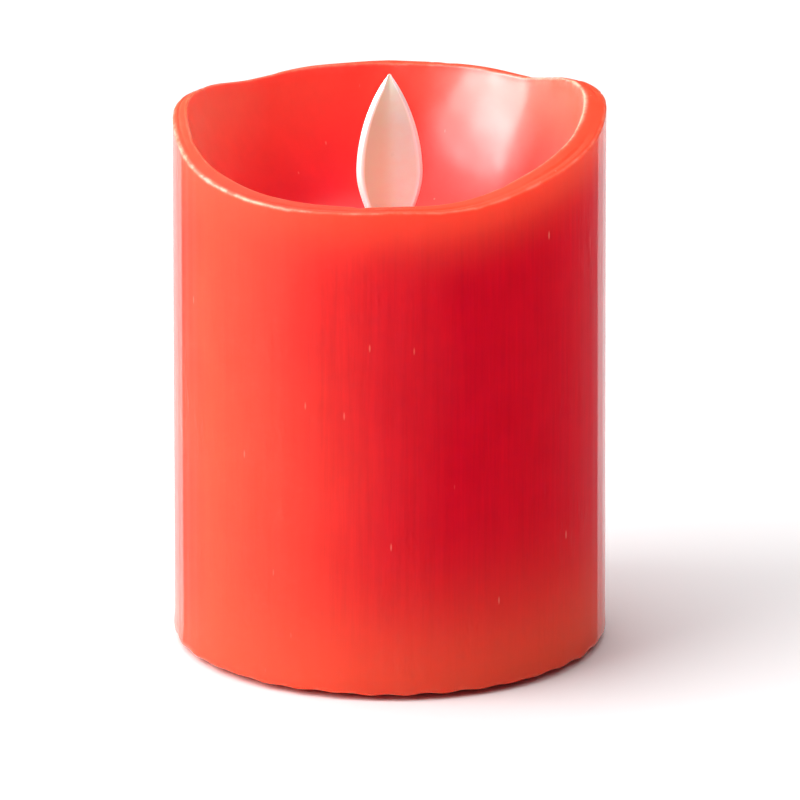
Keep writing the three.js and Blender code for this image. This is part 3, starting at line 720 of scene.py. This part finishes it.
def widen_rim(wax):
    """Makes the rim wider at the right than at the left, and dents the wall of the bowl below it."""
    near_rim = np.clip((wax.height - BOWL_FLOOR) / (wax.rim - BOWL_FLOOR), 0, 1)
    outwards = 0.1 - 0.7 * np.cos(wax.angle)
    on_rim = np.where(wax.index < wax.inner_edge, wax.across_rim, 0)
    reach = np.where(wax.is_bowl, near_rim ** 2, on_rim)
    dents = 0.25 * ripples(wax.angle, wax.height, seed=8, turns=(3, 12), climb=0.12, count=8)
    half_way_up = near_rim * (1 - near_rim) * 2
    wax.radius += reach * outwards + np.where(wax.is_bowl, dents * half_way_up, 0)


def droop_rim(wax):
    """Slopes the rim down to its outer edge, most at the left and right, and leaves a faint lip there."""
    wall_reach = 12
    droop = 0.25 + 0.95 * np.abs(np.cos(wax.angle))
    near_rim = np.clip(1 - (wax.rim - wax.height) / wall_reach, 0, 1) ** 2
    share = np.where(wax.is_outside, near_rim, 1 - wax.across_rim)
    wax.height -= droop * np.where(wax.is_raised & (wax.index <= wax.inner_edge), share, 0)
    lip_width = 1.25
    groove_depth = 0.22
    groove_width = 0.28
    fading = np.clip(0.6 + 0.5 * ripples_round(wax.angle, seed=14, turns=(2, 9), count=5), 0, 1)
    wax.height -= groove_depth * bell(wax.off_outer_edge - lip_width, groove_width) * fading


def ripple_foot(wax):
    """Makes the rounded foot of the wall slightly ragged."""
    reach = 1.6
    foot = bell(wax.off_foot, reach) * wax.is_raised
    up = np.clip(ripples_round(wax.angle, seed=15, turns=(5, 40), count=10), -2, 2)
    out = ripples_round(wax.angle, seed=16, turns=(5, 30), count=8)
    wax.height += foot * 0.16 * up
    wax.radius += foot * 0.05 * out


def chip_and_highlight_rim(wax):
    """Chips both edges of the rim, and works out how much painted highlight each point gets along them."""
    left_front = 3.65  # directions in which each edge's painted highlight is strongest, anticlockwise from +X
    right = 0.1
    spread = 0.55
    painted_edge_highlight = np.zeros_like(wax.height)
    random = np.random.default_rng(11)
    for off, side, brightest in ((wax.off_outer_edge, -0.6, left_front), (wax.off_inner_edge, 0.6, right)):
        # Painted highlight: each edge's pale line is strongest in one direction, where the light falls.
        highlight_strength = 0.25 + 1.4 * bell(turn_from(wax.angle, brightest), spread)
        painted_edge_highlight = np.maximum(painted_edge_highlight, bell(off, 0.28 + 0.1 * highlight_strength) * highlight_strength)
        for _ in range(CHIPS):
            spot = random.uniform(0, TAU)
            width = random.uniform(0.4, 1.4)
            depth = random.uniform(0.05, 0.22)
            chip = depth * bell(turn_from(wax.angle, spot) * RIM_RADIUS, width) * bell(off, 0.8)
            wax.height -= chip
            wax.radius += chip * side
    return painted_edge_highlight


def painted_glow_amounts(wax):
    """How much painted glow each point gets, standing in for light coming through the wax: most near the rim
    and the foot, with a painted highlight on the bowl's wall below its inner edge, strongest to the right,
    and a faint painted glow on the rim.
    """
    rim_reach = 6.5
    foot_reach = 15
    bowl_reach = 9
    near_rim = 0.85 * bell(wax.rim - wax.height, rim_reach)
    near_foot = 0.8 * bell(wax.height - WAX_BOTTOM, foot_reach)
    to_the_right = np.clip(np.cos(wax.angle - 0.3), 0.1, 1)
    # Painted highlight on the bowl's wall below its inner edge, strongest to the right.
    bowl = bell(wax.off_inner_edge, bowl_reach) * to_the_right
    rim = np.where(wax.index < wax.inner_edge, 0.3, 0)
    return np.where(wax.is_outside, np.clip(near_rim + near_foot, 0, 1), np.where(wax.is_bowl, bowl, rim))


def wax_shell(wall_wax, bowl_wax, rim_wax):
    """The pillar: the CAD shell with a rim of uneven width, chipped edges and a slightly uneven wall."""
    wax = wax_grid()
    roughen_wall(wax)
    widen_rim(wax)
    droop_rim(wax)
    ripple_foot(wax)
    painted_edge_highlight = chip_and_highlight_rim(wax)
    points = np.stack([
        wax.radius * np.cos(wax.angle), wax.radius * np.sin(wax.angle), wax.height,
    ], axis=-1).reshape(-1, 3)
    rows, columns = wax.height.shape
    made = make_object("wax_pillar", points, grid_faces(rows, columns, True, True))
    # Stores the painted highlight along the rim's edges and the painted glow.
    store_values(made, "edge", painted_edge_highlight)
    store_values(made, "painted_glow", painted_glow_amounts(wax))
    for surface in (wall_wax, bowl_wax, rim_wax):
        made.data.materials.append(surface)
    wall, bowl, rim = range(3)
    for face in made.data.polygons:
        column = face.vertices[0] % columns
        face.material_index = wall
        if wax.starts["outer_edge"] <= column < wax.inner_edge:
            face.material_index = rim
        elif wax.inner_edge <= column < wax.starts["hole"]:
            face.material_index = bowl
    return made


# Flame


def flame_levels():
    """Sections from the foot to the tip: height, half width, half thickness, and 1 where it is round."""
    foot = TAIL_BOTTOM
    disc = 3.0  # radius of the disc over the magnet
    disc_height = 1.2
    disc_bevel = 0.15
    tail = 1.6  # half width of the tail, of the boss round the wire and of the stem under the leaf
    boss = 2.9
    stem = 2.2
    boss_reach = 1.6  # from the wire up and down
    leaf_start = 71
    leaf_widest = 82.8
    thickest = 1.05
    levels = [
        (foot, disc - disc_bevel, disc - disc_bevel, 1),
        (foot + disc_bevel, disc, disc, 1),
        (foot + disc_height - disc_bevel, disc, disc, 1),
        (foot + disc_height, disc - disc_bevel, disc - disc_bevel, 1),
        (foot + disc_height + 0.02, tail, 0.8, 0.3),
        (PIVOT_HEIGHT - boss_reach - 1, tail, 0.8, 0.3),
        (PIVOT_HEIGHT - boss_reach, boss, 1.1, 0.3),
        (PIVOT_HEIGHT + boss_reach, boss, 1.1, 0.3),
        (PIVOT_HEIGHT + boss_reach + 1, stem, 0.85, 0.1),
        (leaf_start - 1, stem, 0.85, 0),
    ]
    widest = (BLADE_HALF_WIDTH, leaf_widest)
    below_tip = (0.4, FLAME_TIP - 0.35)
    lower = bezier([(stem, leaf_start), (3.2, 74.5), (BLADE_HALF_WIDTH, 78.8), widest], 16)
    upper = bezier([widest, (BLADE_HALF_WIDTH, 88.5), (3.7, 95.0), below_tip], 40)
    tip = [below_tip, (0.3, FLAME_TIP - 0.12), (0.12, FLAME_TIP)]
    for half_width, height in np.concatenate([lower, upper, tip]):
        levels.append((height, half_width, min(thickest, 0.2 + 0.5 * half_width), 0))
    return levels


def leaf_section(half_width, half_thickness, dish):
    """The front half of a dished section, from left to right: x, y, and 1 where it is bevelled."""
    left_bevel = min(0.8, 0.45 * half_width)
    right_bevel = min(0.45, 0.4 * half_width)
    left = left_bevel - half_width
    right = half_width - right_bevel
    face = -half_thickness * 0.8
    rim_share = 0.12  # how thick the rim is beside the face
    slope = [(share, face * (rim_share + (1 - rim_share) * share)) for share in np.linspace(0, 1, 5)[:-1]]
    points = [(left - left_bevel * (1 - share), y, 1) for share, y in slope]
    for x in np.linspace(left, right, 15):
        hollow = 1 - abs(x / half_width) ** 1.2
        points.append((x, face + dish * hollow, 1 if x in (left, right) else 0))
    points += [(right + right_bevel * (1 - share), y, 1) for share, y in reversed(slope)]
    return points


def flame_leaf():
    """The flame: a dished leaf with a bevelled rim, on a tail that is drilled for its wire."""
    points = []
    edge = []
    levels = flame_levels()
    for height, half_width, half_thickness, roundness in levels:
        dish = 0.45 * half_thickness * (1 - roundness)
        front = leaf_section(half_width, half_thickness, dish)
        back = [(x, -y, bevelled) for x, y, bevelled in reversed(front[1:-1])]
        section = front + back
        for k, (x, y, bevelled) in enumerate(section):
            turn = math.pi + k / len(section) * TAU
            x = x + (half_width * math.cos(turn) - x) * roundness
            y = y + (half_thickness * math.sin(turn) - y) * roundness
            points.append((x, y, height))
            edge.append(bevelled if roundness == 0 else 0)
    columns = len(section)
    faces = grid_faces(len(levels), columns, False, True)
    faces.append(tuple(range(columns)))
    faces.append(tuple(range(len(points) - columns, len(points)))[::-1])
    made = make_object("flame_leaf", points, faces)
    # The bevelled points, which the flame's finish paints whiter and glowing.
    store_values(made, "edge", edge)
    with mesh_edit(made) as shape:
        bmesh.ops.recalc_face_normals(shape, faces=shape.faces)
    reach = 5
    drill = turned("drill", [(0, -reach), (DRILL_RADIUS, -reach), (DRILL_RADIUS, reach), (0, reach)], 24)
    drill.rotation_euler = (0, math.pi / 2, 0)
    drill.location = (0, 0, PIVOT_HEIGHT * MM)
    cut_away(made, drill)
    shade_smooth_below(made, 28)
    return made


# Stage


def softbox(name, place, size, power, target=(0.0, 0.0, 0.05)):
    """An area light of a width and height at a place in metres, turned to a target."""
    light = bpy.data.lights.new(name, "AREA")
    light.shape = "RECTANGLE"
    light.size, light.size_y = size
    light.energy = power
    made = bpy.data.objects.new(name, light)
    made.location = place
    made.rotation_euler = (Vector(target) - Vector(place)).to_track_quat("-Z", "Y").to_euler()
    made.visible_camera = False
    bpy.context.scene.collection.objects.link(made)
    return made


def make_world():
    """White to the camera, and a dim room to everything else."""
    world = bpy.data.worlds.new("studio")
    bpy.context.scene.world = world
    world.use_nodes = True
    tree = world.node_tree
    background = tree.nodes["Background"]
    path = add_node(tree, "ShaderNodeLightPath").outputs["Is Camera Ray"]
    colour = blend_colours(tree, path, (0.08, 0.08, 0.085, 1), (0.97, 0.97, 0.97, 1))
    tree.links.new(colour, background.inputs["Color"])


def make_floor():
    """A plain pale floor under the candle, which fades into the background well away from it."""
    radius = 3000
    fade_start = 500
    fade_end = 1100
    floor = turned("floor", [(0, 0), (radius, 0)], 96)
    surface, tree, shader, place = new_surface("pale_floor", Roughness=0.7, IOR=1.3)
    mottle = noise(tree, place, 0.01, 3.0)
    away = add_node(tree, "ShaderNodeVectorMath", {0: place}, operation="LENGTH").outputs["Value"]
    drive(
        tree, shader, Base_Color=blend_colours(tree, mottle, (0.9, 0.9, 0.9, 1), (0.93, 0.93, 0.93, 1)),
        Alpha=remap(tree, away, fade_start, fade_end, 1.0, 0.0),
    )
    floor.data.materials.append(surface)


def make_camera():
    """A long lens from the front, a little above the candle."""
    elevation = math.radians(17)
    distance = 1.25
    target = Vector((0.0018, 0, 0.042))
    camera = bpy.data.cameras.new("camera")
    camera.lens = 326
    camera.sensor_width = 36
    made = bpy.data.objects.new("camera", camera)
    made.location = target + Vector((0, -math.cos(elevation), math.sin(elevation))) * distance
    made.rotation_euler = (math.pi / 2 - elevation, 0, 0)
    bpy.context.scene.collection.objects.link(made)
    bpy.context.scene.camera = made


def make_lights():
    """A broad light overhead, a window at the left, and a small card that brightens the bowl.

    The window's panes and a strip behind the candle show only in glossy surfaces.
    """
    softbox("overhead", (-0.5, 0.45, 1.7), (2.4, 2.4), 44)
    softbox("window", (-0.7, -0.28, 0.62), (0.8, 0.7), 8.5)
    panes = softbox("panes", (-0.85, -0.24, 0.34), (0.85, 0.5), 54)
    strip = softbox("strip", (-0.75, 0.55, 0.35), (0.15, 0.4), 3)
    for only_reflected in (panes, strip):
        only_reflected.visible_diffuse = False
    card = softbox("card", (0.12, -0.1, 0.19), (0.1, 0.1), 0.09, (0.01, 0, 0.085))
    card.visible_glossy = False
    bpy.context.scene.view_settings.view_transform = "Standard"


# Assembly

# How wide the rounded edges are, in millimetres, on the parts whose names start like this
ROUNDED_EDGES = {
    "flame_cap": 0.25,
    "base_plate": 0.25,
    "battery_door": 0.3,
    "switch_knob": 0.2,
    "slide_switch_body": 0.2,
    "led_holder": 0.1,
    "led_lamp": 0.08,
    "battery_tray": 0.2,
    "rubber_foot": 0.4,
    "base_screw": 0.12,
    "aaa_cell": 0.25,
}


def finish_nodes(surfaces):
    """Gives every CAD node the finish of its material slot."""
    for name, shown in frame["nodes"].items():
        for slot in shown.material_slots:
            slot.link = "OBJECT"
            slot.material = surfaces[slot_of(name)]


def round_parts(surfaces):
    """Lets copies with rounded edges stand for the moulded and turned parts."""
    for name in frame["nodes"]:
        for start, width in ROUNDED_EDGES.items():
            if name.startswith(start):
                stand_in(rounded_copy(name, width), name, surfaces[slot_of(name)])


def coil_turns():
    """The coil's outer layer, turn by turn, with how deep each point lies between two turns, which sets the
    painted shade there.
    """
    low, high = box_mm("coil_winding")
    length = high[2] - low[2]
    wire_width = 0.42
    turns = int(length / wire_width)
    pitch = length / turns
    bore = box_mm("coil_bobbin")[1][0] / 2
    outline = [(bore, low[2])]
    shade_between_turns = [0]
    for turn in range(turns):
        for share in np.linspace(0, 1, 7)[:-1]:
            bulge = math.sin(share * math.pi)
            outline.append((high[0] - 0.5 * pitch * (1 - bulge), low[2] + (turn + share) * pitch))
            shade_between_turns.append(1 - bulge)
    outline.append((bore, high[2]))
    shade_between_turns.append(0)
    made = turned("coil_turns", outline, 72, True)
    heights = np.array([v.co.z for v in made.data.vertices]) / MM
    store_values(made, "shade_between_turns", np.interp(heights, [z for _, z in outline], shade_between_turns))
    return made


def resistor_surface():
    """Beige lacquer with four colour bands."""
    low, high = box_mm("board_resistor_1")
    bands = [
        (0.14, 0.24, srgb(120, 66, 30)), (0.34, 0.44, srgb(20, 20, 20)), (0.54, 0.64, srgb(190, 40, 30)),
        (0.82, 0.9, srgb(196, 154, 62)),
    ]
    lead = 1.7
    body = high[1] - low[1] - 2 * lead
    return banded_surface("resistor_coat", 1, low[1] + lead, body, bands, 0.45, srgb(214, 188, 146))


def capacitor_surface():
    """Dark blue sleeve with a pale stripe down one side."""
    low, high = box_mm("board_capacitor")
    margin = 0.2
    width = high[1] - low[1] + 2 * margin
    stripe = [(0.0, 0.2, srgb(206, 208, 212))]
    return banded_surface("capacitor_sleeve", 1, low[1] - margin, width, stripe, 0.32, srgb(30, 44, 78))


def cell_surface():
    """Plain blue wrap with pale rings, on a can that shows at the end."""
    low, high = box_mm("aaa_cell_2")
    rings = [
        (0.0, 0.02, srgb(200, 200, 200)), (0.3, 0.34, srgb(214, 216, 220)), (0.7, 0.74, srgb(214, 216, 220)),
    ]
    return banded_surface("cell_wrap", 0, low[0], high[0] - low[0], rings, 0.28, srgb(58, 92, 138))


def make_surfaces():
    """One finish for each of the record's material slots."""
    return {
        "wax": wall_wax_surface(),
        "red_plastic": plastic_surface("red_plastic", srgb(176, 26, 34), srgb(196, 58, 56), 0.42),
        "flame_plastic": flame_surface(),
        "white_plastic": plastic_surface("white_plastic", srgb(226, 221, 208), srgb(206, 196, 176), 0.5),
        "black_plastic": plastic_surface("black_plastic", srgb(28, 28, 30), srgb(60, 60, 62), 0.5),
        "magnet_plating": metal_surface("magnet_plating", srgb(205, 205, 208), srgb(160, 156, 150), 0.18),
        "steel": metal_surface("zinc_steel", srgb(190, 192, 196), srgb(140, 134, 122), 0.32),
        "contact_plating": metal_surface("contact_plating", srgb(208, 206, 198), srgb(170, 156, 128), 0.25),
        "copper_wire": winding_surface(),
        "lamp_resin": resin_surface(),
        "board": board_surface(),
        "resistor_coat": resistor_surface(),
        "capacitor_sleeve": capacitor_surface(),
        "cell_wrap": cell_surface(),
        "red_insulation": plastic_surface("red_insulation", srgb(190, 24, 28), srgb(206, 60, 56), 0.36, 3),
        "black_insulation": plastic_surface("black_insulation", srgb(20, 20, 21), srgb(48, 48, 50), 0.36, 3),
        "rubber": rubber_surface(),
    }


make_camera()
make_world()
make_floor()
make_lights()
surfaces = make_surfaces()
finish_nodes(surfaces)
stand_in(wax_shell(surfaces["wax"], bowl_wax_surface(), rim_wax_surface()), "wax_shell")
stand_in(flame_leaf(), "flame_blade", surfaces["flame_plastic"])
stand_in(coil_turns(), "coil_winding", surfaces["copper_wire"])
round_parts(surfaces)
